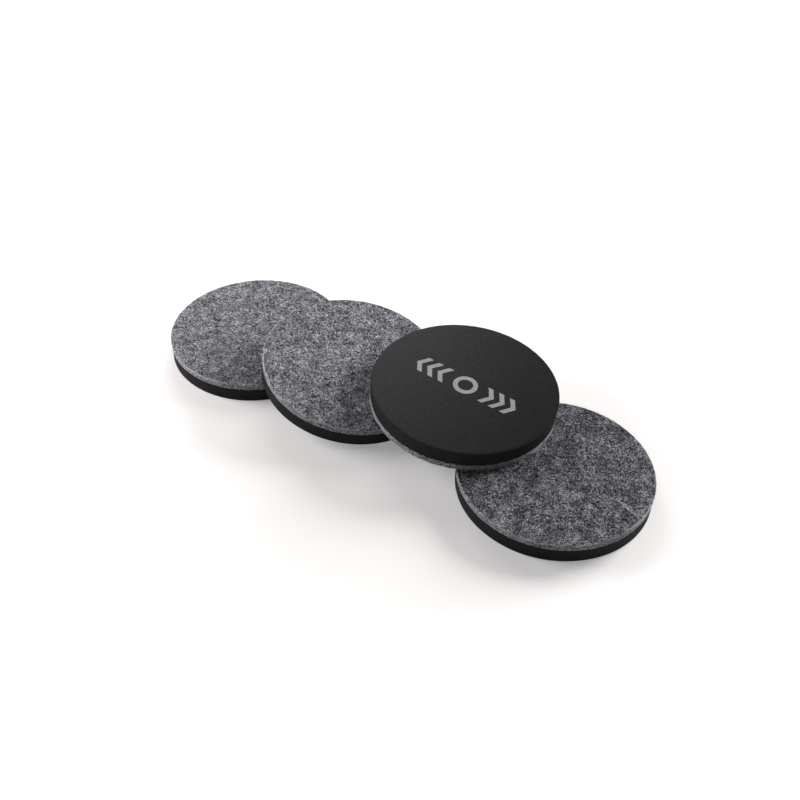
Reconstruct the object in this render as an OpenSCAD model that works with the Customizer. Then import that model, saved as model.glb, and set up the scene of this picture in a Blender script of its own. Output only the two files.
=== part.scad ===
// A set of round furniture sliders laid in an overlapping row.
// Each slider is a foam pad with a felt pad glued to it by a thin film.
// Lengths are in millimetres, angles in degrees, and +Z is up.
// Sliders 1, 2 and 4 lie felt side up. Slider 3 lies foam side up across sliders 2 and 4.

/* [Slider] */
// Diameter of a slider
slider_diameter = 89; // [60:1:180]
// Thickness of the foam pad, which grips the furniture
foam_thickness = 7; // [4:0.5:12]
// Thickness of the felt pad, which glides on the floor
felt_thickness = 3; // [2:0.5:6]
// Thickness of the glue film between the pads
adhesive_thickness = 0.2; // [0.1:0.05:0.4]
// How far the glue film stops short of the cut edge
adhesive_inset = 0.6; // [0.2:0.1:2]
// Radius of the foam pad's open edge
foam_round = 0.5; // [0.2:0.1:1]
// Radius of the felt pad's open edge
felt_round = 0.8; // [0.2:0.1:1]

/* [Row] */
// How far slider 2 lies over slider 1, along the row
overlap_1_2 = 29; // [20:1:40]
// How far slider 3 lies over slider 2, along the row
overlap_2_3 = 31; // [20:1:40]
// How far slider 3 lies over slider 4, along the row
overlap_3_4 = 33; // [20:1:40]
// Sideways step of slider 2 from the line through sliders 1 and 4
side_step_2 = 1; // [0:0.5:5]
// Sideways step of slider 3 from the line through sliders 1 and 4
side_step_3 = 12; // [5:0.5:16]
// Gap left where one slider rests on another
rest_gap = 0.2; // [0.1:0.05:0.4]

/* [Hidden] */
$fn = 96;
foam_colour = [0.10, 0.10, 0.10];
felt_colour = [0.42, 0.43, 0.45];
adhesive_colour = [0.30, 0.28, 0.24];

slider_radius = slider_diameter / 2;
slider_thickness = foam_thickness + adhesive_thickness + felt_thickness;
felt_base = foam_thickness + adhesive_thickness;

// Centres of the sliders along the row, from the centre of slider 1
x_2 = slider_diameter - overlap_1_2;
x_3 = x_2 + slider_diameter - overlap_2_3;
x_4 = x_3 + slider_diameter - overlap_3_4;

// The row's own origin is the middle of its footprint
row_mid_x = x_4 / 2;
row_mid_y = side_step_3 / 2;

// Search range and halvings for the two leaning angles
steepest_lean = 40;
lean_halvings = 40;

// Slider 2 stands on its lowest foam edge, so its underside's centre is this high
function height_2(a) = (slider_radius - foam_round) * sin(a) + foam_round * (1 - cos(a));

// How far slider 2's underside clears slider 1's felt edge, less the rest gap
function clearance_2(a) =
    height_2(a)
    + (x_2 - slider_radius + felt_round) * tan(a)
    - (slider_thickness - felt_round)
    - (felt_round + rest_gap) / cos(a);

function find_lean_2(low, high, left) =
    left == 0 ? (low + high) / 2
    : clearance_2((low + high) / 2) < 0
        ? find_lean_2((low + high) / 2, high, left - 1)
        : find_lean_2(low, (low + high) / 2, left - 1);

lean_2 = find_lean_2(0, steepest_lean, lean_halvings);
z_2 = height_2(lean_2);

// The middle of slider 2's upper face, seen from the side of the row
face_2_x = x_2 + slider_thickness * sin(lean_2);
face_2_z = z_2 + slider_thickness * cos(lean_2);

// Slider 3's lowest felt edge rests on slider 4, so its underside's centre is this high
function height_3(a) =
    slider_thickness
    + rest_gap
    + (slider_radius - felt_round) * sin(a)
    + felt_round * (1 - cos(a));

// The centre of slider 3's highest felt edge rounding, seen from the side of the row
function edge_3_x(a) = x_3 - (slider_radius - felt_round) * cos(a) + felt_round * sin(a);
function edge_3_z(a) = height_3(a) + (slider_radius - felt_round) * sin(a) + felt_round * cos(a);

// How far that edge clears slider 2's upper face, less the rest gap
function clearance_3(a) =
    (edge_3_x(a) - face_2_x) * sin(lean_2)
    + (edge_3_z(a) - face_2_z) * cos(lean_2)
    - felt_round
    - rest_gap;

function find_lean_3(low, high, left) =
    left == 0 ? (low + high) / 2
    : clearance_3((low + high) / 2) < 0
        ? find_lean_3((low + high) / 2, high, left - 1)
        : find_lean_3(low, (low + high) / 2, left - 1);

lean_3 = find_lean_3(0, steepest_lean, lean_halvings);
z_3 = height_3(lean_3);

// A flat round pad standing on z = 0, with its upper edge rounded
module pad(thickness, edge_round) {
    rotate_extrude() {
        square([slider_radius - edge_round, thickness]);
        square([slider_radius, thickness - edge_round]);
        translate([slider_radius - edge_round, thickness - edge_round])
            circle(r = edge_round);
    }
}

// The three layers of a slider that lies felt side up on z = 0
module foam_layer() {
    color(foam_colour)
        translate([0, 0, foam_thickness])
            rotate([180, 0, 0])
                pad(foam_thickness, foam_round);
}

module adhesive_layer() {
    color(adhesive_colour)
        translate([0, 0, foam_thickness])
            cylinder(r = slider_radius - adhesive_inset, h = adhesive_thickness);
}

module felt_layer() {
    color(felt_colour)
        translate([0, 0, felt_base])
            pad(felt_thickness, felt_round);
}

// Where each slider lies in the row
module at_slider_1() {
    translate([-row_mid_x, -row_mid_y, 0])
        children();
}

module at_slider_2() {
    translate([x_2 - row_mid_x, side_step_2 - row_mid_y, z_2])
        rotate([0, lean_2, 0])
            children();
}

module at_slider_3() {
    translate([x_3 - row_mid_x, side_step_3 - row_mid_y, z_3])
        rotate([0, lean_3, 0])
            translate([0, 0, slider_thickness])
                rotate([180, 0, 0])
                    children();
}

module at_slider_4() {
    translate([x_4 - row_mid_x, -row_mid_y, 0])
        children();
}

// Slider 1 lies flat on the floor at the start of the row
module slider_1_foam() {
    at_slider_1()
        foam_layer();
}

module slider_1_adhesive() {
    at_slider_1()
        adhesive_layer();
}

module slider_1_felt() {
    at_slider_1()
        felt_layer();
}

// Slider 2 leans on slider 1 with its far edge on the floor
module slider_2_foam() {
    at_slider_2()
        foam_layer();
}

module slider_2_adhesive() {
    at_slider_2()
        adhesive_layer();
}

module slider_2_felt() {
    at_slider_2()
        felt_layer();
}

// Slider 3 is turned over and bridges sliders 2 and 4
module slider_3_foam() {
    at_slider_3()
        foam_layer();
}

module slider_3_adhesive() {
    at_slider_3()
        adhesive_layer();
}

module slider_3_felt() {
    at_slider_3()
        felt_layer();
}

// Slider 4 lies flat on the floor at the end of the row
module slider_4_foam() {
    at_slider_4()
        foam_layer();
}

module slider_4_adhesive() {
    at_slider_4()
        adhesive_layer();
}

module slider_4_felt() {
    at_slider_4()
        felt_layer();
}

slider_1_foam();
slider_1_adhesive();
slider_1_felt();
slider_2_foam();
slider_2_adhesive();
slider_2_felt();
slider_3_foam();
slider_3_adhesive();
slider_3_felt();
slider_4_foam();
slider_4_adhesive();
slider_4_felt();
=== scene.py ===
# %% [markdown]
# A row of felt and foam furniture sliders
#
# Four round sliders lie in an overlapping row on a white floor. Each one is a pad of charcoal foam,
# which grips the leg of a chair or table, with a pad of grey needle felt glued to it, which glides
# on the floor. Three lie felt side up and one foam side up. The solids of the part come in first,
# as a fixed frame. Everything made here goes in the places they give and rides on the same bodies,
# so the picture and the part can't drift apart.

# %% Load the frame
import math

import bpy
import numpy as np
from mathutils import Matrix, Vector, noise


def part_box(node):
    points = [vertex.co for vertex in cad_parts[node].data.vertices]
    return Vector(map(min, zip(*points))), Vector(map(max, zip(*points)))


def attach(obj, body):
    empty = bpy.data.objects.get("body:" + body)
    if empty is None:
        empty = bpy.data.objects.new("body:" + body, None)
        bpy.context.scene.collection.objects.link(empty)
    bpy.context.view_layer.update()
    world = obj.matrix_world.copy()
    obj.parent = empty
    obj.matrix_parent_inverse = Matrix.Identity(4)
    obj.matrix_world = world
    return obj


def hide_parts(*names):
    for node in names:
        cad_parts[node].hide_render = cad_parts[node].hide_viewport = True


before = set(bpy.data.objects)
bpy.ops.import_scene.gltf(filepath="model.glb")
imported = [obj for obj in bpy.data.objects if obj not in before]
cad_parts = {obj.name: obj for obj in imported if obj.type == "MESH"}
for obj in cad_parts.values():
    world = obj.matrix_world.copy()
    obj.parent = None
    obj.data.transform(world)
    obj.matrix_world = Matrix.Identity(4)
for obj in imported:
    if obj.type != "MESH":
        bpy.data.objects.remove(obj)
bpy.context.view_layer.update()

mm = 0.001

# %% [markdown]
# Where each slider lies
#
# Two of the sliders lean, so a box alone can't say where their pads lie. The angles could be
# written down here a second time, but a change in the part would then be missed. So they are
# measured. The glue film inside a slider is a thin flat disc: the direction in which its points
# spread least is the slider's own upright. That gives each slider a frame of its own, with the
# origin in the middle of the film's foam side and +Z towards the felt.

# %% Read the sizes
def height_of(name):
    low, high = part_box(name)
    return high.z - low.z


low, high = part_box("slider_1_foam")
slider_radius = (high.x - low.x) / 2
foam_thickness = height_of("slider_1_foam")
film_thickness = height_of("slider_1_adhesive")
felt_thickness = height_of("slider_1_felt")
sizes = (slider_radius, foam_thickness, film_thickness, felt_thickness)
print("Radius, foam, film and felt in mm:", [round(size / mm, 2) for size in sizes])

# %% Read the places
def node_points(name):
    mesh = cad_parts[name].data
    flat = np.empty(3 * len(mesh.vertices))
    mesh.vertices.foreach_get("co", flat)
    return flat.reshape(-1, 3)


def slider_place(number):
    film = node_points(f"slider_{number}_adhesive")
    felt_middle = node_points(f"slider_{number}_felt").mean(0)
    foam_middle = node_points(f"slider_{number}_foam").mean(0)
    thinnest = np.linalg.svd(film - film.mean(0), full_matrices=False)[2][2]
    up = thinnest * np.sign(thinnest @ (felt_middle - foam_middle))
    along = np.array([1.0, 0.0, 0.0]) - up * up[0]
    along /= np.linalg.norm(along)
    axes = np.array([along, np.cross(up, along), up])
    own = film @ axes.T
    middle = (own.min(0) + own.max(0)) / 2
    middle[2] = own[:, 2].min()
    place = Matrix(axes.T.tolist()).to_4x4()
    place.translation = axes.T @ middle
    return place


places = {number: slider_place(number) for number in (1, 2, 3, 4)}
for number, place in places.items():
    lean = math.acos(min(1, abs(place[2][2])))
    print("Slider", number, "leans", round(math.degrees(lean), 2), "degrees")

# %% [markdown]
# The camera
#
# The camera stands where the photograph was taken from. It could be set by eye, but each round edge
# shows there as an ellipse, and the shapes and places of those ellipses give the camera's height,
# its turn and its lens much more closely. The frame is square.

# %% Place the camera
camera_place = (0.1914, -0.2933, 0.3186)
camera_turn = (47.834, -1.031, 34.203)
camera_lens = 42.96
camera_sensor = 36

camera = bpy.data.objects.new("camera", bpy.data.cameras.new("camera"))
camera.location = camera_place
camera.rotation_euler = [math.radians(angle) for angle in camera_turn]
camera.data.lens = camera_lens
camera.data.sensor_width = camera_sensor
camera.data.clip_start = 10 * mm
bpy.context.scene.collection.objects.link(camera)
bpy.context.scene.camera = camera
print("Camera lens in mm:", round(camera.data.lens, 2))

# %% [markdown]
# A round pad as a mesh
#
# A pad is an open face, a rounded edge, a cut side and a back that is glued. A cylinder from the
# menu has one flat face on top, which can't take any relief. So the open face is filled with rings
# of points, six more on each ring, which keeps the triangles even from the middle to the edge. The
# side goes down from the last ring. Each point also keeps its first place, in millimetres, as an
# attribute named lay. The finishes read it, so a pattern stays on its pad wherever the slider is
# moved.

# %% Fill a round face with triangles
def ring_start(ring):
    """Index of a ring's first point. Ring 0 is the middle point."""
    return 1 + 3 * ring * (ring - 1) if ring else 0


def face_triangles(rings):
    triangles = []
    for ring in range(1, rings + 1):
        outer = ring_start(ring)
        inner = ring_start(ring - 1)
        around = 6 * ring
        around_inner = max(1, 6 * (ring - 1))
        for step in range(around):
            sector, within = divmod(step, ring)
            inner_step = sector * (ring - 1) + within
            near = inner + inner_step % around_inner
            far = outer + (step + 1) % around
            triangles.append((near, outer + step, far))
            if within < ring - 1:
                triangles.append((near, far, inner + (inner_step + 1) % around_inner))
    return triangles


print("A face of 3 rings has", len(face_triangles(3)), "triangles")

# %% Round the edge and drop the side
def pad_rows(radius, thickness, edge, rings, edge_steps, side_steps):
    """Each row's point count, distance past the rim, reach, height, and outward and upward share."""
    rows = [(1, 0, 0, thickness, 0, 1)]
    for ring in range(1, rings + 1):
        rows.append((6 * ring, 0, (radius - edge) * ring / rings, thickness, 0, 1))
    around = 6 * rings
    for angle in np.linspace(0, math.pi / 2, edge_steps + 1)[1:]:
        out = math.sin(angle)
        up = math.cos(angle)
        height = thickness - edge + edge * up
        rows.append((around, edge * angle, radius - edge + edge * out, height, out, up))
    for drop in np.linspace(0, thickness - edge, side_steps + 1)[1:]:
        rows.append((around, edge * math.pi / 2 + drop, radius, thickness - edge - drop, 1, 0))
    return rows


def pad_faces(rings, bands):
    faces = face_triangles(rings)
    around = 6 * rings
    for band in range(bands):
        upper = ring_start(rings) + band * around
        lower = upper + around
        for step in range(around):
            after = (step + 1) % around
            faces.append((upper + step, lower + step, lower + after, upper + after))
    faces.append(tuple(lower + step for step in reversed(range(around))))
    return faces


def pad_shape(radius, thickness, edge, spacing, edge_steps, side_steps):
    """Points, outward directions, distances past the face's rim, and faces of a pad on z = 0."""
    rings = round((radius - edge) / spacing)
    points = []
    normals = []
    past_rim = []
    rows = pad_rows(radius, thickness, edge, rings, edge_steps, side_steps)
    for count, past, reach, height, out, up in rows:
        for turn in np.arange(count) * math.tau / count:
            points.append((reach * math.cos(turn), reach * math.sin(turn), height))
            normals.append((out * math.cos(turn), out * math.sin(turn), up))
            past_rim.append(past)
    faces = pad_faces(rings, edge_steps + side_steps)
    return np.array(points), np.array(normals), np.array(past_rim), faces


coarse = pad_shape(slider_radius, felt_thickness, 1 * mm, spacing=10 * mm, edge_steps=2, side_steps=1)
print("A coarse pad has", len(coarse[0]), "points and", len(coarse[3]), "faces")

# %% Relief, and a piece from its points
def lumps(points, size, seed):
    """Soft random relief from -1 to 1 with lumps about this wide."""
    return np.array([noise.noise((x / size, y / size, z / size + seed)) for x, y, z in points])


def keep_value(piece, name, values):
    piece.data.attributes.new(name, "FLOAT", "POINT").data.foreach_set("value", values)


def make_piece(name, points, faces, lay, place):
    mesh = bpy.data.meshes.new(name)
    mesh.from_pydata(points.tolist(), [], faces)
    mesh.attributes.new("lay", "FLOAT_VECTOR", "POINT").data.foreach_set("vector", np.ravel(lay))
    mesh.shade_smooth()
    mesh.transform(place)
    piece = bpy.data.objects.new(name, mesh)
    bpy.context.scene.collection.objects.link(piece)
    return piece


print("Relief at the coarse pad's first points:", lumps(coarse[0][:3] / mm, 12, 1).round(2).tolist())

# %% [markdown]
# Node helpers
#
# A finish is a small net of nodes. It could be drawn by hand in the shader editor, but a script can
# be read and run again. The first helpers add a node with its values and links in one line, and do
# sums and mixes with it. The others start a group with named sockets, place it, and start a finish.
# With them each finish below reads as a recipe.

# %% Add nodes
def add_node(tree, kind, inputs=None, **settings):
    made = tree.nodes.new(kind)
    for name, value in settings.items():
        setattr(made, name, value)
    for name, value in (inputs or {}).items():
        if isinstance(value, bpy.types.NodeSocket):
            tree.links.new(value, made.inputs[name])
        else:
            made.inputs[name].default_value = value
    return made


def math_node(tree, operation, first, second=0.0, third=0.0):
    inputs = {0: first, 1: second, 2: third}
    return add_node(tree, "ShaderNodeMath", inputs, operation=operation).outputs[0]


def vector_node(tree, operation, inputs, output="Vector"):
    return add_node(tree, "ShaderNodeVectorMath", inputs, operation=operation).outputs[output]


def weighted_sum(tree, start, parts):
    """The start, plus each value times its weight."""
    total = start
    for value, weight in parts:
        total = math_node(tree, "MULTIPLY_ADD", value, weight, total)
    return total


def fade(tree, value, start, end):
    """0 before start and 1 past end, with a smooth step between."""
    inputs = {"Value": value, "From Min": start, "From Max": end}
    return add_node(tree, "ShaderNodeMapRange", inputs, interpolation_type="SMOOTHSTEP").outputs["Result"]


def mix_values(tree, share, first, second):
    return add_node(tree, "ShaderNodeMix", {0: share, 2: first, 3: second}, data_type="FLOAT").outputs[0]


def mix_colours(tree, share, first, second, blend="MIX"):
    inputs = {0: share, 6: first, 7: second}
    return add_node(tree, "ShaderNodeMix", inputs, data_type="RGBA", blend_type=blend).outputs[2]


def colour_run(tree, value, start, end, half_way=None):
    """Runs from the start colour to the end colour as the value goes from 0 to 1."""
    ramp = add_node(tree, "ShaderNodeValToRGB", {"Fac": value})
    ramp.color_ramp.elements[0].color = (*start, 1)
    ramp.color_ramp.elements[1].color = (*end, 1)
    if half_way:
        ramp.color_ramp.elements.new(0.5).color = (*half_way, 1)
    return ramp.outputs["Color"]


helpers = (add_node, math_node, vector_node, weighted_sum, fade, mix_values, mix_colours, colour_run)
print("Node helpers:", [helper.__name__ for helper in helpers])

# %% Start groups and finishes
def new_group(name, inputs, outputs):
    """A group's tree, its inputs by name, and its output node. Inputs have a kind and a first value."""
    tree = bpy.data.node_groups.new(name, "ShaderNodeTree")
    for socket, kind, value in inputs:
        made = tree.interface.new_socket(socket, in_out="INPUT", socket_type=kind)
        if value is not None:
            made.default_value = value
    for socket, kind in outputs:
        tree.interface.new_socket(socket, in_out="OUTPUT", socket_type=kind)
    return tree, tree.nodes.new("NodeGroupInput").outputs, tree.nodes.new("NodeGroupOutput")


def put_out(tree, result, values):
    """Links a group's results to its named outputs, and tells what the group holds."""
    for name, value in values.items():
        tree.links.new(value, result.inputs[name])
    print("Group", tree.name, "has", len(tree.nodes), "nodes and gives", list(values))


def place_group(tree, group, **inputs):
    return add_node(tree, "ShaderNodeGroup", inputs, node_tree=group).outputs


def new_finish(name):
    material = bpy.data.materials.new(name)
    material.use_nodes = True
    return material, material.node_tree, material.node_tree.nodes["Principled BSDF"]


def kept(tree, name, output="Fac"):
    """What a piece keeps under this name at each of its points."""
    return add_node(tree, "ShaderNodeAttribute", attribute_name=name).outputs[output]


def set_shader(shader, values):
    for name, value in values.items():
        shader.inputs[name].default_value = value


def add_relief(tree, shader, height, strength, distance):
    bump = add_node(tree, "ShaderNodeBump", {"Height": height, "Strength": strength, "Distance": distance})
    tree.links.new(bump.outputs["Normal"], shader.inputs["Normal"])


helpers = (new_group, put_out, place_group, new_finish, kept, set_shader, add_relief)
print("Group and finish helpers:", [helper.__name__ for helper in helpers])

# %% [markdown]
# Shared effects
#
# Needle felt is a mat of crimped fibres, dyed light, grey and black, that lie in all directions in
# the plane of the pad. Noise that is stretched along one direction looks like a comb of streaks.
# Several such layers, each turned by another angle and bent by a slower noise, look like a tangle.
# The brightest streak at a point gives the light fibres, and the darkest gives the dark gaps.
# Clouds of light and dark run through the felt and, more faintly, through the foam and the glue. A
# fine grain stands for the foam's cells. Where a die cuts a pad, flat streaks show along its side,
# from the layers of the felt and the drag of the die through the foam. A picture of felt could be
# used instead, but it would show its seams and would not sharpen when seen from close by. Each
# effect is a group, built once, and every finish that uses it gives it sizes of its own. The sizes
# are in millimetres.

# %% Group: tangled fibres
fibre_layers = 6
first_turn = 9
turn_between = 31
shift_between = np.array([17.3, 5.1, 3.7])

tangle, given, result = new_group(
    "tangled_fibres",
    [("Lay", "NodeSocketVector", None), ("Length", "NodeSocketFloat", 2.6),
     ("Width", "NodeSocketFloat", 0.5), ("Bend", "NodeSocketFloat", 1.1)],
    [("Light", "NodeSocketFloat"), ("Dark", "NodeSocketFloat"), ("Height", "NodeSocketFloat")])
slow = add_node(tangle, "ShaderNodeTexNoise", {"Vector": given["Lay"], "Scale": 0.45, "Detail": 2.0})
drift = vector_node(tangle, "SUBTRACT", {0: slow.outputs["Color"], 1: (0.5, 0.5, 0.5)})
drift = vector_node(tangle, "SCALE", {0: drift, "Scale": given["Bend"]})
bent = vector_node(tangle, "ADD", {0: given["Lay"], 1: drift})
per_length = math_node(tangle, "DIVIDE", 1.0, given["Length"])
per_width = math_node(tangle, "DIVIDE", 1.0, given["Width"])
stretch = add_node(tangle, "ShaderNodeCombineXYZ", {0: per_length, 1: per_width, 2: per_width}).outputs[0]


def fibre_layer(layer):
    turn = math.radians(first_turn + turn_between * layer)
    inputs = {"Vector": bent, "Angle": turn}
    turned = add_node(tangle, "ShaderNodeVectorRotate", inputs, rotation_type="Z_AXIS").outputs[0]
    shift = (shift_between * layer).tolist()
    laid = vector_node(tangle, "MULTIPLY_ADD", {0: turned, 1: stretch, 2: shift})
    streaks = add_node(tangle, "ShaderNodeTexNoise", {"Vector": laid, "Scale": 1.0, "Detail": 1.0})
    return streaks.outputs["Fac"]


brightest = darkest = fibre_layer(0)
for layer in range(1, fibre_layers):
    streak = fibre_layer(layer)
    brightest = math_node(tangle, "MAXIMUM", brightest, streak)
    darkest = math_node(tangle, "MINIMUM", darkest, streak)
put_out(tangle, result, {"Light": fade(tangle, brightest, 0.60, 0.66),
                         "Dark": fade(tangle, darkest, 0.40, 0.34),
                         "Height": math_node(tangle, "ADD", brightest, darkest)})

# %% Group: slow clouds
clouds, given, result = new_group(
    "slow_clouds",
    [("Lay", "NodeSocketVector", None), ("Size", "NodeSocketFloat", 8.0)],
    [("Value", "NodeSocketFloat")])
per_size = math_node(clouds, "DIVIDE", 1.0, given["Size"])
cloud = add_node(clouds, "ShaderNodeTexNoise", {"Vector": given["Lay"], "Scale": per_size, "Detail": 1.0})
put_out(clouds, result, {"Value": fade(clouds, cloud.outputs["Fac"], 0.28, 0.72)})

# %% Group: fine grain
grain, given, result = new_group(
    "fine_grain",
    [("Lay", "NodeSocketVector", None), ("Size", "NodeSocketFloat", 0.3)],
    [("Value", "NodeSocketFloat"), ("Height", "NodeSocketFloat")])
per_size = math_node(grain, "DIVIDE", 1.0, given["Size"])
cells = add_node(grain, "ShaderNodeTexVoronoi", {"Vector": given["Lay"], "Scale": per_size})
speckle = add_node(grain, "ShaderNodeTexNoise", {"Vector": given["Lay"], "Scale": per_size, "Detail": 2.0})
height = math_node(grain, "ADD", cells.outputs["Distance"], speckle.outputs["Fac"])
put_out(grain, result, {"Value": speckle.outputs["Fac"], "Height": height})

# %% Group: layers of a cut side
layers, given, result = new_group(
    "cut_layers",
    [("Lay", "NodeSocketVector", None), ("Length", "NodeSocketFloat", 1.6),
     ("Width", "NodeSocketFloat", 0.3)],
    [("Value", "NodeSocketFloat")])
per_length = math_node(layers, "DIVIDE", 1.0, given["Length"])
per_width = math_node(layers, "DIVIDE", 1.0, given["Width"])
stretch = add_node(layers, "ShaderNodeCombineXYZ", {0: per_length, 1: per_length, 2: per_width}).outputs[0]
laid = vector_node(layers, "MULTIPLY", {0: given["Lay"], 1: stretch})
streak = add_node(layers, "ShaderNodeTexNoise", {"Vector": laid, "Scale": 1.0, "Detail": 2.0})
put_out(layers, result, {"Value": fade(layers, streak.outputs["Fac"], 0.38, 0.62)})

# %% [markdown]
# The felt's finish
#
# The felt is made twice over: a pad, whose finish paints the tangle of fibres, and a nap of real
# strands on it. Both are dyed from the same three tones, so the run from dark to light is a group
# too. Two sizes of fibres, tufts and slower drifts add up to one shade at each point. The cut side
# has a paler shade of its own, with its layers showing, and a slightly warmer colour, where the die
# lays fresh fibre open; the paleness is partly painted light for the lamps on the cut sides. The rim
# between face and side is paler still, a painted highlight where loose fibres would catch the light.

# %% Group: felt dye
felt_dark = (0.008, 0.0088, 0.0125)
felt_mid = (0.056, 0.0574, 0.067)
felt_light = (0.78, 0.787, 0.84)

dye, given, result = new_group(
    "felt_dye", [("Shade", "NodeSocketFloat", 0.5)], [("Colour", "NodeSocketColor")])
put_out(dye, result, {"Colour": colour_run(dye, given["Shade"], felt_dark, felt_light, half_way=felt_mid)})

# %% Felt finish
plain_white = (1, 1, 1, 1)
warm_white = (1, 0.97, 0.93, 1)

felt_finish, tree, shader = new_finish("felt_pad")
lay = kept(tree, "lay", "Vector")
cut = kept(tree, "cut")
fibres = place_group(tree, tangle, Lay=lay, Length=1.3, Width=0.27, Bend=0.8)
fine = place_group(tree, tangle, Lay=lay, Length=0.8, Width=0.2, Bend=0.4)
tufts = place_group(tree, clouds, Lay=lay, Size=4.8)
drifts = place_group(tree, clouds, Lay=lay, Size=9.0)
layered = place_group(tree, layers, Lay=lay, Length=1.5, Width=0.6)
face_shade = weighted_sum(tree, kept(tree, "pad_tone"), [
    (fibres["Light"], 0.64), (fibres["Dark"], -0.72), (fine["Light"], 0.34), (fine["Dark"], -0.34),
    (tufts["Value"], 0.36), (drifts["Value"], 0.18)])
# The cut side's paler shade is partly painted light for the lamps on the cut sides.
cut_side_shade_and_painted_light = weighted_sum(tree, 0.42, [
    (layered["Value"], 0.34), (fibres["Light"], 0.62), (fibres["Dark"], -0.64)])
# A painted highlight makes the rim between face and side paler still.
painted_rim_highlight = math_node(tree, "PINGPONG", cut, 0.5)
shade = weighted_sum(tree, mix_values(tree, cut, face_shade, cut_side_shade_and_painted_light), [(painted_rim_highlight, 0.50)])
dyed = place_group(tree, dye, Shade=shade)
warmth = mix_colours(tree, cut, plain_white, warm_white)
colour = mix_colours(tree, 1.0, dyed["Colour"], warmth, blend="MULTIPLY")
tree.links.new(colour, shader.inputs["Base Color"])
relief = weighted_sum(tree, fibres["Height"], [(fine["Height"], 0.5)])
add_relief(tree, shader, relief, strength=0.7, distance=0.6 * mm)
set_shader(shader, {"Roughness": 0.95, "Specular IOR Level": 0.2,
                    "Sheen Weight": 0.1, "Sheen Roughness": 0.5})
print("Finish", felt_finish.name, "has", len(tree.nodes), "nodes")

# %% Nap finish
nap_finish, tree, shader = new_finish("felt_nap")
cloud = place_group(tree, clouds, Lay=kept(tree, "lay", "Vector"), Size=1.5)
strand = math_node(tree, "SUBTRACT", kept(tree, "strand_shade"), 0.08)
dyed = place_group(tree, dye, Shade=weighted_sum(tree, strand, [(cloud["Value"], 0.16)]))
tree.links.new(dyed["Colour"], shader.inputs["Base Color"])
set_shader(shader, {"Roughness": 0.8, "Specular IOR Level": 0.25, "Sheen Weight": 0.1})
print("Finish", nap_finish.name, "has", len(tree.nodes), "nodes")

# %% [markdown]
# The felt pads
#
# A felt pad is a disc stamped from a sheet. A bump in the finish alone would leave its outline a
# perfect circle, so soft lumps of three sizes move the points of the mesh, and the cut side is
# uneven in flat steps. Each pad has a tone of its own, lightest on the second slider and darkest on
# the fourth. Every pad's pattern is also shifted, so that no two pads show the same stretch of
# it.

# %% Felt pads
felt_edge = 0.4 * mm
felt_tones = {1: 0.10, 2: 0.16, 3: 0.11, 4: -0.03}
lay_shift = 150.0
lump_sizes = ((0.10, 12, 0), (0.12, 2.2, 10), (0.10, 0.8, 20))
face_sink = 0.04
lump_share_on_cut = 0.3
cut_step_height = 0.06
cut_step_width = 2.0
cut_step_flatness = (1, 1, 4)

felt_points, felt_normals, felt_past, felt_faces = pad_shape(
    slider_radius, felt_thickness, felt_edge, spacing=0.42 * mm, edge_steps=4, side_steps=6)


def felt_relief(lay, number):
    """Height in mm of the lumps in the face and of the uneven cut side."""
    lumpy = np.zeros(len(lay))
    for height, width, seed in lump_sizes:
        lumpy += height * lumps(lay, width, seed + number)
    cut_steps = cut_step_height * lumps(lay * cut_step_flatness, cut_step_width, 70 + number)
    relief = np.where(felt_past > 0, lump_share_on_cut * lumpy + cut_steps, lumpy - face_sink)
    on_the_glue = felt_points[:, 2] < 0.001 * mm
    relief[on_the_glue] = 0
    return relief


def felt_pad(number):
    lay = felt_points / mm
    points = felt_points + felt_normals * (felt_relief(lay, number) * mm)[:, None]
    place = places[number] @ Matrix.Translation((0, 0, film_thickness))
    piece = make_piece(f"slider_{number}_felt_pad", points, felt_faces, lay + lay_shift * number, place)
    keep_value(piece, "pad_tone", np.full(len(points), felt_tones[number]))
    keep_value(piece, "cut", np.clip(felt_past / (felt_edge * math.pi / 2), 0, 1))
    piece.data.materials.append(felt_finish)
    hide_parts(f"slider_{number}_felt")
    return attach(piece, f"slider_{number}")


felt_pads = [felt_pad(number) for number in places]
print(len(felt_pads), "felt pads, each with", len(felt_points), "points and", len(felt_faces), "faces")

# %% [markdown]
# The nap
#
# Loose fibres lie on real felt and break up its smooth outline. Strands on the face rise out of it
# and dip back into it. Short ends stand out of the cut side, where the die cut the fibres through,
# and pale strands lie along the rim. Most ends and rim strands are light, partly a painted highlight
# for the light that fuzz catches at the edge. Hair particles would be quicker, but they are not part
# of a mesh, so a model that is handed on would lose them. So every strand is a thin closed tube with
# three sides.

# %% Strands as thin closed tubes
def tubes(paths, radii):
    """Three-sided tubes round many paths of equal point count, with closed ends."""
    count, steps = paths.shape[:2]
    heading = np.gradient(paths, axis=1)
    heading /= np.linalg.norm(heading, axis=2, keepdims=True)
    side = np.cross(heading, (0.0, 0.0, 1.0))
    flat = np.linalg.norm(side, axis=2, keepdims=True)
    side = np.where(flat > 1e-6, side / np.maximum(flat, 1e-6), (1.0, 0.0, 0.0))
    over = np.cross(side, heading)
    corners = [paths + radii[..., None] * (math.cos(turn) * side + math.sin(turn) * over)
               for turn in (math.pi / 2, math.pi * 7 / 6, math.pi * 11 / 6)]
    points = np.stack(corners, axis=2).reshape(-1, 3)
    start = (np.arange(count) * steps * 3)[:, None]
    ring = start[:, :, None] + (np.arange(steps - 1) * 3)[None, :, None]
    here = ring + np.arange(3)
    after = ring + np.array([1, 2, 0])
    walls = np.stack([here, after, after + 3, here + 3], axis=-1)
    ends = np.concatenate([start + [2, 1, 0], start + 3 * (steps - 1) + [0, 1, 2]])
    return points, walls.reshape(-1, 4).tolist() + ends.tolist()


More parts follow.
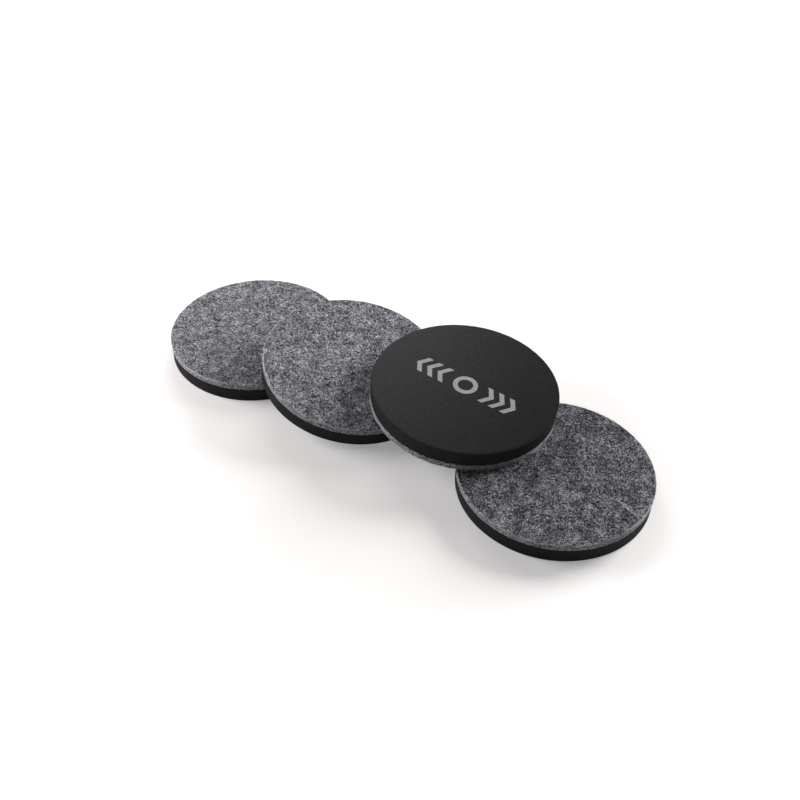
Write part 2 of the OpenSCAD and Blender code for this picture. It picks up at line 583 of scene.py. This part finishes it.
def over_the_rim(flat_points, lift):
    """Lays flat plan points on the felt's face, bends what passes the rim down the side, and lifts it."""
    reach = np.linalg.norm(flat_points, axis=-1)
    out = flat_points / np.maximum(reach, 1e-9)[..., None]
    past = reach - (slider_radius - felt_edge)
    turn = np.clip(past / felt_edge, 0, math.pi / 2)
    drop = np.maximum(past - felt_edge * math.pi / 2, 0)
    on_edge = slider_radius - felt_edge + felt_edge * np.sin(turn)
    radial = np.where(past > 0, on_edge, reach) + lift * np.sin(turn)
    height = felt_thickness - felt_edge * (1 - np.cos(turn)) - drop + lift * np.cos(turn)
    return np.concatenate([out * radial[..., None], height[..., None]], axis=-1)


def round_plan(reach, turn):
    return np.stack([reach * np.cos(turn), reach * np.sin(turn)], axis=-1)


one_strand = tubes(np.array([[[0.0, 0.0, 0.0], [1.0, 0.0, 0.2], [2.0, 0.0, 0.0]]]), np.full((1, 3), 0.1))
print("A strand of 3 steps has", len(one_strand[0]), "points and", len(one_strand[1]), "faces")

# %% Three kinds of strands
face_dip = 0.06 * mm
rim_dip = 0.03 * mm
side_root = 0.1 * mm
side_arch = 1.9
dark_from = 0.72


def face_strands(chance, count=6500, steps=4):
    along = np.linspace(0, 1, steps)
    length = chance.uniform(0.9 * mm, 2.2 * mm, count)
    first_heading = chance.uniform(0, math.tau, count)[:, None]
    steady_curl = chance.normal(0, 0.28, (count, 1))
    heading = first_heading + np.cumsum(steady_curl + chance.normal(0, 0.30, (count, steps)), axis=1)
    start = (slider_radius * np.sqrt(chance.uniform(0, 1, count)))[:, None]
    turn = chance.uniform(0, math.tau, count)[:, None]
    step = length[:, None, None] / (steps - 1)
    plan = round_plan(start, turn) + np.cumsum(step * round_plan(1.0, heading), axis=1)
    rise = chance.uniform(0.08 * mm, 0.22 * mm, count)[:, None]
    return over_the_rim(plan, rise * np.sin(math.pi * along) - face_dip)


def side_ends(chance, count=1300, steps=5):
    along = np.linspace(0, 1, steps)
    turn = chance.uniform(0, math.tau, count)[:, None] + chance.normal(0, 0.012, count)[:, None] * along
    stand_out = chance.uniform(0.12 * mm, 0.28 * mm, count)[:, None]
    reach = slider_radius - side_root + stand_out * np.sin(along * side_arch)
    height = chance.uniform(0.2 * mm, felt_thickness - 0.3 * mm, count)[:, None]
    height = height + chance.normal(0, 0.25 * mm, count)[:, None] * along
    return np.concatenate([round_plan(reach, turn), height[..., None]], axis=-1)


def rim_strands(chance, count=700, steps=5):
    along = np.linspace(0, 1, steps)
    turn = chance.uniform(0, math.tau, count)[:, None]
    turn = turn + chance.uniform(1.2 * mm, 3.0 * mm, count)[:, None] / slider_radius * along
    reach = slider_radius - felt_edge + chance.uniform(0.0, 0.7 * mm, count)[:, None]
    reach = reach + chance.normal(0, 0.2 * mm, count)[:, None] * along
    rise = chance.uniform(0.06 * mm, 0.16 * mm, count)[:, None]
    return over_the_rim(round_plan(reach, turn), rise * np.sin(math.pi * along) - rim_dip)


def strand_shades(chance, count, light_share):
    """Light, middle or dark for each strand, with the given share of light ones."""
    kind = chance.uniform(0, 1, count)
    middle = chance.uniform(0.45, 0.65, count)
    shade = np.where(kind < dark_from, middle, chance.uniform(0.0, 0.2, count))
    return np.where(kind < light_share, chance.uniform(0.75, 1.0, count), shade)


print("Paths of a face, by strands, steps and axes:", face_strands(np.random.default_rng(0)).shape)

# %% Naps
def felt_nap(number):
    chance = np.random.default_rng(40 + number)
    # The side ends and rim strands get large light shares, partly a painted highlight at the edge.
    kinds = ((face_strands(chance), 0.085 * mm, 0.36),
             (side_ends(chance), 0.06 * mm, 0.75),
             (rim_strands(chance), 0.08 * mm, 0.85))
    points = np.empty((0, 3))
    faces = []
    shades = []
    for paths, thick, light_share in kinds:
        count, steps = paths.shape[:2]
        taper = np.interp(np.linspace(0, 1, steps), (0, 0.2, 0.8, 1), (0.4, 1, 1, 0.4))
        radii = chance.uniform(0.75, 1.25, count)[:, None] * thick * taper
        tube_points, tube_faces = tubes(paths, radii)
        faces += [[index + len(points) for index in face] for face in tube_faces]
        points = np.concatenate([points, tube_points])
        shades.append(np.repeat(strand_shades(chance, count, light_share), 3 * steps))
    place = places[number] @ Matrix.Translation((0, 0, film_thickness))
    lay = points / mm + lay_shift * number
    piece = make_piece(f"slider_{number}_felt_nap", points, faces, lay, place)
    keep_value(piece, "strand_shade", np.concatenate(shades))
    piece.data.materials.append(nap_finish)
    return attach(piece, f"slider_{number}")


felt_naps = [felt_nap(number) for number in places]
print(len(felt_naps), "naps, each with", len(felt_naps[0].data.polygons), "faces")

# %% [markdown]
# The foam's finish
#
# Closed-cell foam is cut from a sheet with a ring die. Its open face keeps the sheet's fine matte
# skin. The cut side shows the opened cells as fine pores in faint layers, and is duller and a
# little paler; the paleness is partly painted light for the lamps on the cut sides. The rounded edge
# is painted paler too, a painted highlight where the rounding would catch the light. A plain black
# would do from far away, but from close by the grain is what tells foam from rubber. Plain and
# printed pads have the same skin, so the skin is a group made of the groups above.

# %% Group: foam skin
foam_dark = (0.0003, 0.0003, 0.0003)
foam_light = (0.0206, 0.0185, 0.0198)
speck_start = 0.42
speck_end = 0.64

foam_skin, given, result = new_group(
    "foam_skin",
    [("Lay", "NodeSocketVector", None), ("Cut", "NodeSocketFloat", 0.0), ("Edge", "NodeSocketFloat", 0.0)],
    [("Colour", "NodeSocketColor"), ("Rough", "NodeSocketFloat"), ("Height", "NodeSocketFloat"),
     ("Grain", "NodeSocketFloat")])
skin = place_group(foam_skin, grain, Lay=given["Lay"], Size=0.55)
pores = place_group(foam_skin, grain, Lay=given["Lay"], Size=1.1)
cloud = place_group(foam_skin, clouds, Lay=given["Lay"], Size=16.0)
layered = place_group(foam_skin, layers, Lay=given["Lay"], Length=1.2, Width=0.7)
skin_specks = fade(foam_skin, skin["Value"], speck_start, speck_end)
pore_specks = fade(foam_skin, pores["Value"], speck_start, speck_end)
# The cut side's paler tone is partly painted light for the lamps on the cut sides.
side = weighted_sum(foam_skin, 0.45, [(layered["Value"], 0.30)])
# The edge input adds a painted highlight along the rounded rim.
tone = weighted_sum(foam_skin, 0.0, [
    (skin_specks, 0.50), (pore_specks, 0.15), (cloud["Value"], 0.05),
    (side, given["Cut"]), (given["Edge"], 0.3)])
put_out(foam_skin, result, {
    "Colour": colour_run(foam_skin, tone, foam_dark, foam_light),
    "Rough": weighted_sum(foam_skin, 0.30, [(skin["Value"], 0.12), (given["Cut"], 0.4)]),
    "Height": weighted_sum(foam_skin, skin["Height"], [(pores["Height"], 0.6)]),
    "Grain": skin["Value"]})

# %% [markdown]
# A plain printed mark
#
# Sliders like these often carry a small print in silver ink on the foam face. A plain sign stands
# there: a ring, for a round slider, with arrow strokes on both sides, for the ways it slides. A
# picture could hold it, but arithmetic on the pad's own millimetres stays sharp from any distance.
# The ink breaks up a little over the foam's grain.

# %% Printed mark
printed_slider = 3
ink = (0.33, 0.33, 0.332, 1)
ink_rough = 0.42
ink_blur = 0.2
ring_reach = 4.8
ring_half_width = 1.25
stroke_tips = (14.2, 20.0, 25.8)
stroke_half_width = 1.4
stroke_half_height = 5.5
stroke_slant = 0.62
face_depth = 0.3
ink_gap_start = 0.25
ink_gap_end = 0.45


def away_from(tree, value, place):
    return math_node(tree, "ABSOLUTE", math_node(tree, "SUBTRACT", value, place))


def inked(tree, distance, half_width):
    """1 up to half the line's width, and 0 past it, with a slight blur."""
    return fade(tree, distance, half_width, half_width - ink_blur)


def print_mark(tree, lay, grain_value, colour, rough):
    axes = add_node(tree, "ShaderNodeSeparateXYZ", {0: lay}).outputs
    middle = printed_slider * lay_shift
    sideways = away_from(tree, axes[0], middle)
    upright = away_from(tree, axes[1], middle)
    squares = [math_node(tree, "POWER", distance, 2.0) for distance in (sideways, upright)]
    reach = math_node(tree, "SQRT", math_node(tree, "ADD", *squares))
    mark = inked(tree, away_from(tree, reach, ring_reach), ring_half_width)
    slanted = math_node(tree, "MULTIPLY_ADD", upright, stroke_slant, sideways)
    within = inked(tree, upright, stroke_half_height)
    for tip in stroke_tips:
        stroke = inked(tree, away_from(tree, slanted, tip), stroke_half_width)
        mark = math_node(tree, "MAXIMUM", mark, math_node(tree, "MULTIPLY", stroke, within))
    face_start = middle + foam_thickness / mm - face_depth
    on_face = fade(tree, axes[2], face_start, face_start + ink_blur / 2)
    mark = math_node(tree, "MULTIPLY", mark, on_face)
    covered = fade(tree, grain_value, ink_gap_start, ink_gap_end)
    mark = math_node(tree, "MULTIPLY", mark, covered)
    return mix_colours(tree, mark, colour, ink), mix_values(tree, mark, rough, ink_rough)


print("The printed mark is", round(2 * (max(stroke_tips) + stroke_half_width), 1), "mm long")

# %% Foam finishes
def foam_finish(name, printed):
    material, tree, shader = new_finish(name)
    lay = kept(tree, "lay", "Vector")
    skin = place_group(tree, foam_skin, Lay=lay, Cut=kept(tree, "cut"), Edge=kept(tree, "edge"))
    colour = skin["Colour"]
    rough = skin["Rough"]
    if printed:
        colour, rough = print_mark(tree, lay, skin["Grain"], colour, rough)
    tree.links.new(colour, shader.inputs["Base Color"])
    tree.links.new(rough, shader.inputs["Roughness"])
    add_relief(tree, shader, skin["Height"], strength=0.45, distance=0.12 * mm)
    set_shader(shader, {"Specular IOR Level": 0.09})
    print("Finish", material.name, "has", len(tree.nodes), "nodes")
    return material


plain_foam = foam_finish("foam_pad", printed=False)
printed_foam = foam_finish("foam_pad_printed", printed=True)

# %% [markdown]
# The foam pads
#
# The die squeezes the foam as it cuts, so the side springs back slightly hollow. The same mesh as
# for the felt does this well: its points are moved in on the side, most at half height, and the
# face gets a faint swell. A coarser spacing is enough, because the foam is smoother than the felt.

# %% Foam pads
foam_edge = 0.5 * mm
side_hollow = 0.14
# Where the painted highlight on the rounded edge peaks, and how far it spreads.
highlight_middle = 0.8
highlight_spread = 0.2

foam_points, foam_normals, foam_past, foam_faces = pad_shape(
    slider_radius, foam_thickness, foam_edge, spacing=0.72 * mm, edge_steps=4, side_steps=10)
on_side = foam_past > 0


def foam_relief(lay, number):
    """Height in mm of the face's swell and of the hollow side."""
    swell = 0.035 * lumps(lay, 15, 30 + number) + 0.012 * lumps(lay, 1.4, 50 + number)
    up_the_side = np.clip(foam_points[:, 2] / (foam_thickness - foam_edge), 0, 1)
    return np.where(on_side, swell - side_hollow * np.sin(math.pi * up_the_side), swell)


def foam_pad(number):
    lay = foam_points / mm
    points = foam_points + foam_normals * (foam_relief(lay, number) * mm)[:, None]
    place = places[number] @ Matrix.Rotation(math.pi, 4, "X")
    piece = make_piece(f"slider_{number}_foam_pad", points, foam_faces, lay + lay_shift * number, place)
    # A painted highlight along the rounded edge, kept as the edge attribute.
    painted_edge_highlight = np.exp(-(foam_past / foam_edge - highlight_middle) ** 2 / highlight_spread)
    keep_value(piece, "cut", on_side.astype(float))
    keep_value(piece, "edge", np.where(on_side, painted_edge_highlight, 0))
    piece.data.materials.append(printed_foam if number == printed_slider else plain_foam)
    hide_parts(f"slider_{number}_foam")
    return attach(piece, f"slider_{number}")


foam_pads = [foam_pad(number) for number in places]
print(len(foam_pads), "foam pads, each with", len(foam_points), "points and", len(foam_faces), "faces")

# %% [markdown]
# The glue film
#
# The film is a thin flat disc, set back a little from the cut edge. It could be made again as a
# mesh, but its solid already has that shape. So it keeps its solid and gets a dull finish with a
# faint unevenness. All that shows of it is the dark line in the seam.

# %% Glue film
glue_dark = (0.03, 0.028, 0.024)
glue_light = (0.06, 0.055, 0.046)

film_finish, tree, shader = new_finish("glue_film")
spot = add_node(tree, "ShaderNodeTexCoord").outputs["Object"]
spot = vector_node(tree, "SCALE", {0: spot, "Scale": 1 / mm})
cloud = place_group(tree, clouds, Lay=spot, Size=3.0)
tree.links.new(colour_run(tree, cloud["Value"], glue_dark, glue_light), shader.inputs["Base Color"])
tree.links.new(weighted_sum(tree, 0.45, [(cloud["Value"], 0.2)]), shader.inputs["Roughness"])
for number in places:
    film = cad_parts[f"slider_{number}_adhesive"]
    film.data.materials.clear()
    film.data.materials.append(film_finish)
print("Glue films with a finish:", len(places))

# %% [markdown]
# The floor
#
# The sliders were photographed on a white sweep of paper, which takes their soft shadow. A floor
# lit until it is white would need so much light that the felt would bleach. So the paper is lifted
# to white for the camera alone, fully at a distance and only a little close to the sliders, where
# the shadow lies. It lies a hair lower than the solids stand, because the faint swell of the foam
# faces reaches a little below them.

# %% Floor
floor_size = 8.0
floor_drop = 0.05 * mm
paper_white = (0.885, 0.855, 0.84, 1)
near_lift = 0.25
lift_start = 0.10
lift_end = 0.26


def seen_rays(tree):
    """1 for rays from the camera, and for those that it sees mirrored or through glass."""
    rays = add_node(tree, "ShaderNodeLightPath").outputs
    mirrored = math_node(tree, "MAXIMUM", rays["Is Glossy Ray"], rays["Is Transmission Ray"])
    return math_node(tree, "MAXIMUM", rays["Is Camera Ray"], mirrored)


bpy.ops.mesh.primitive_plane_add(size=floor_size, location=(0, 0, -floor_drop))
floor = bpy.context.object
floor.name = "floor"
paper, tree, shader = new_finish("white_sweep")
spot = add_node(tree, "ShaderNodeTexCoord").outputs["Object"]
far_off = fade(tree, vector_node(tree, "LENGTH", {0: spot}, "Value"), lift_start, lift_end)
lift = weighted_sum(tree, near_lift, [(far_off, 1 - near_lift)])
tree.links.new(math_node(tree, "MULTIPLY", seen_rays(tree), lift), shader.inputs["Emission Strength"])
set_shader(shader, {"Base Color": paper_white, "Roughness": 0.9, "Specular IOR Level": 0.1,
                    "Emission Color": plain_white})
floor.data.materials.append(paper)
print("Floor", floor_size, "m wide, lifted to white from", lift_end, "m outwards")

# %% [markdown]
# The light
#
# Three soft lamps stand round the row. The main one is large and low at the back right, so the
# shadow falls softly towards the front left. A small one close by at the back left gives the foam
# face its soft gleam, and a small low one at the left lights the cut sides. A single overhead lamp
# would be simpler, but it would leave the cut sides dark. The two low lamps are kept out of gloss,
# as a photographer would shade them off, because the foam would mirror them as a white glare in low
# views. A weak white room fills the shadows.

# %% World and lamps
room_light = 0.08

world = bpy.data.worlds.new("white_room")
bpy.context.scene.world = world
world.use_nodes = True
tree = world.node_tree
background = tree.nodes["Background"]
level = weighted_sum(tree, room_light, [(seen_rays(tree), 1 - room_light)])
tree.links.new(level, background.inputs["Strength"])
background.inputs["Color"].default_value = plain_white


def lamp(name, turn, height, distance, size, share, in_gloss=False):
    """A round softbox aimed at the row, at a turn and height in degrees and a distance in metres.

    Its share is how much of full light it gives the floor.
    """
    turn = math.radians(turn)
    height = math.radians(height)
    light = bpy.data.lights.new(name, "AREA")
    light.shape = "DISK"
    light.size = size
    light.energy = share * (math.pi * distance) ** 2 / math.sin(height)
    made = bpy.data.objects.new(name, light)
    made.rotation_euler = (math.pi / 2 - height, 0, turn + math.pi / 2)
    away = distance * math.cos(height)
    made.location = (away * math.cos(turn), away * math.sin(turn), distance * math.sin(height))
    made.visible_camera = False
    made.visible_glossy = in_gloss
    bpy.context.scene.collection.objects.link(made)
    return made


lamps = [
    lamp("back_right_softbox", turn=65, height=21, distance=1.4, size=0.75, share=0.50),
    lamp("back_left_softbox", turn=130, height=36, distance=0.45, size=0.3, share=0.23, in_gloss=True),
    lamp("left_softbox", turn=205, height=22, distance=0.5, size=0.3, share=0.33)]
bpy.context.scene.view_settings.view_transform = "Standard"
print("Lamps:", [made.name for made in lamps])
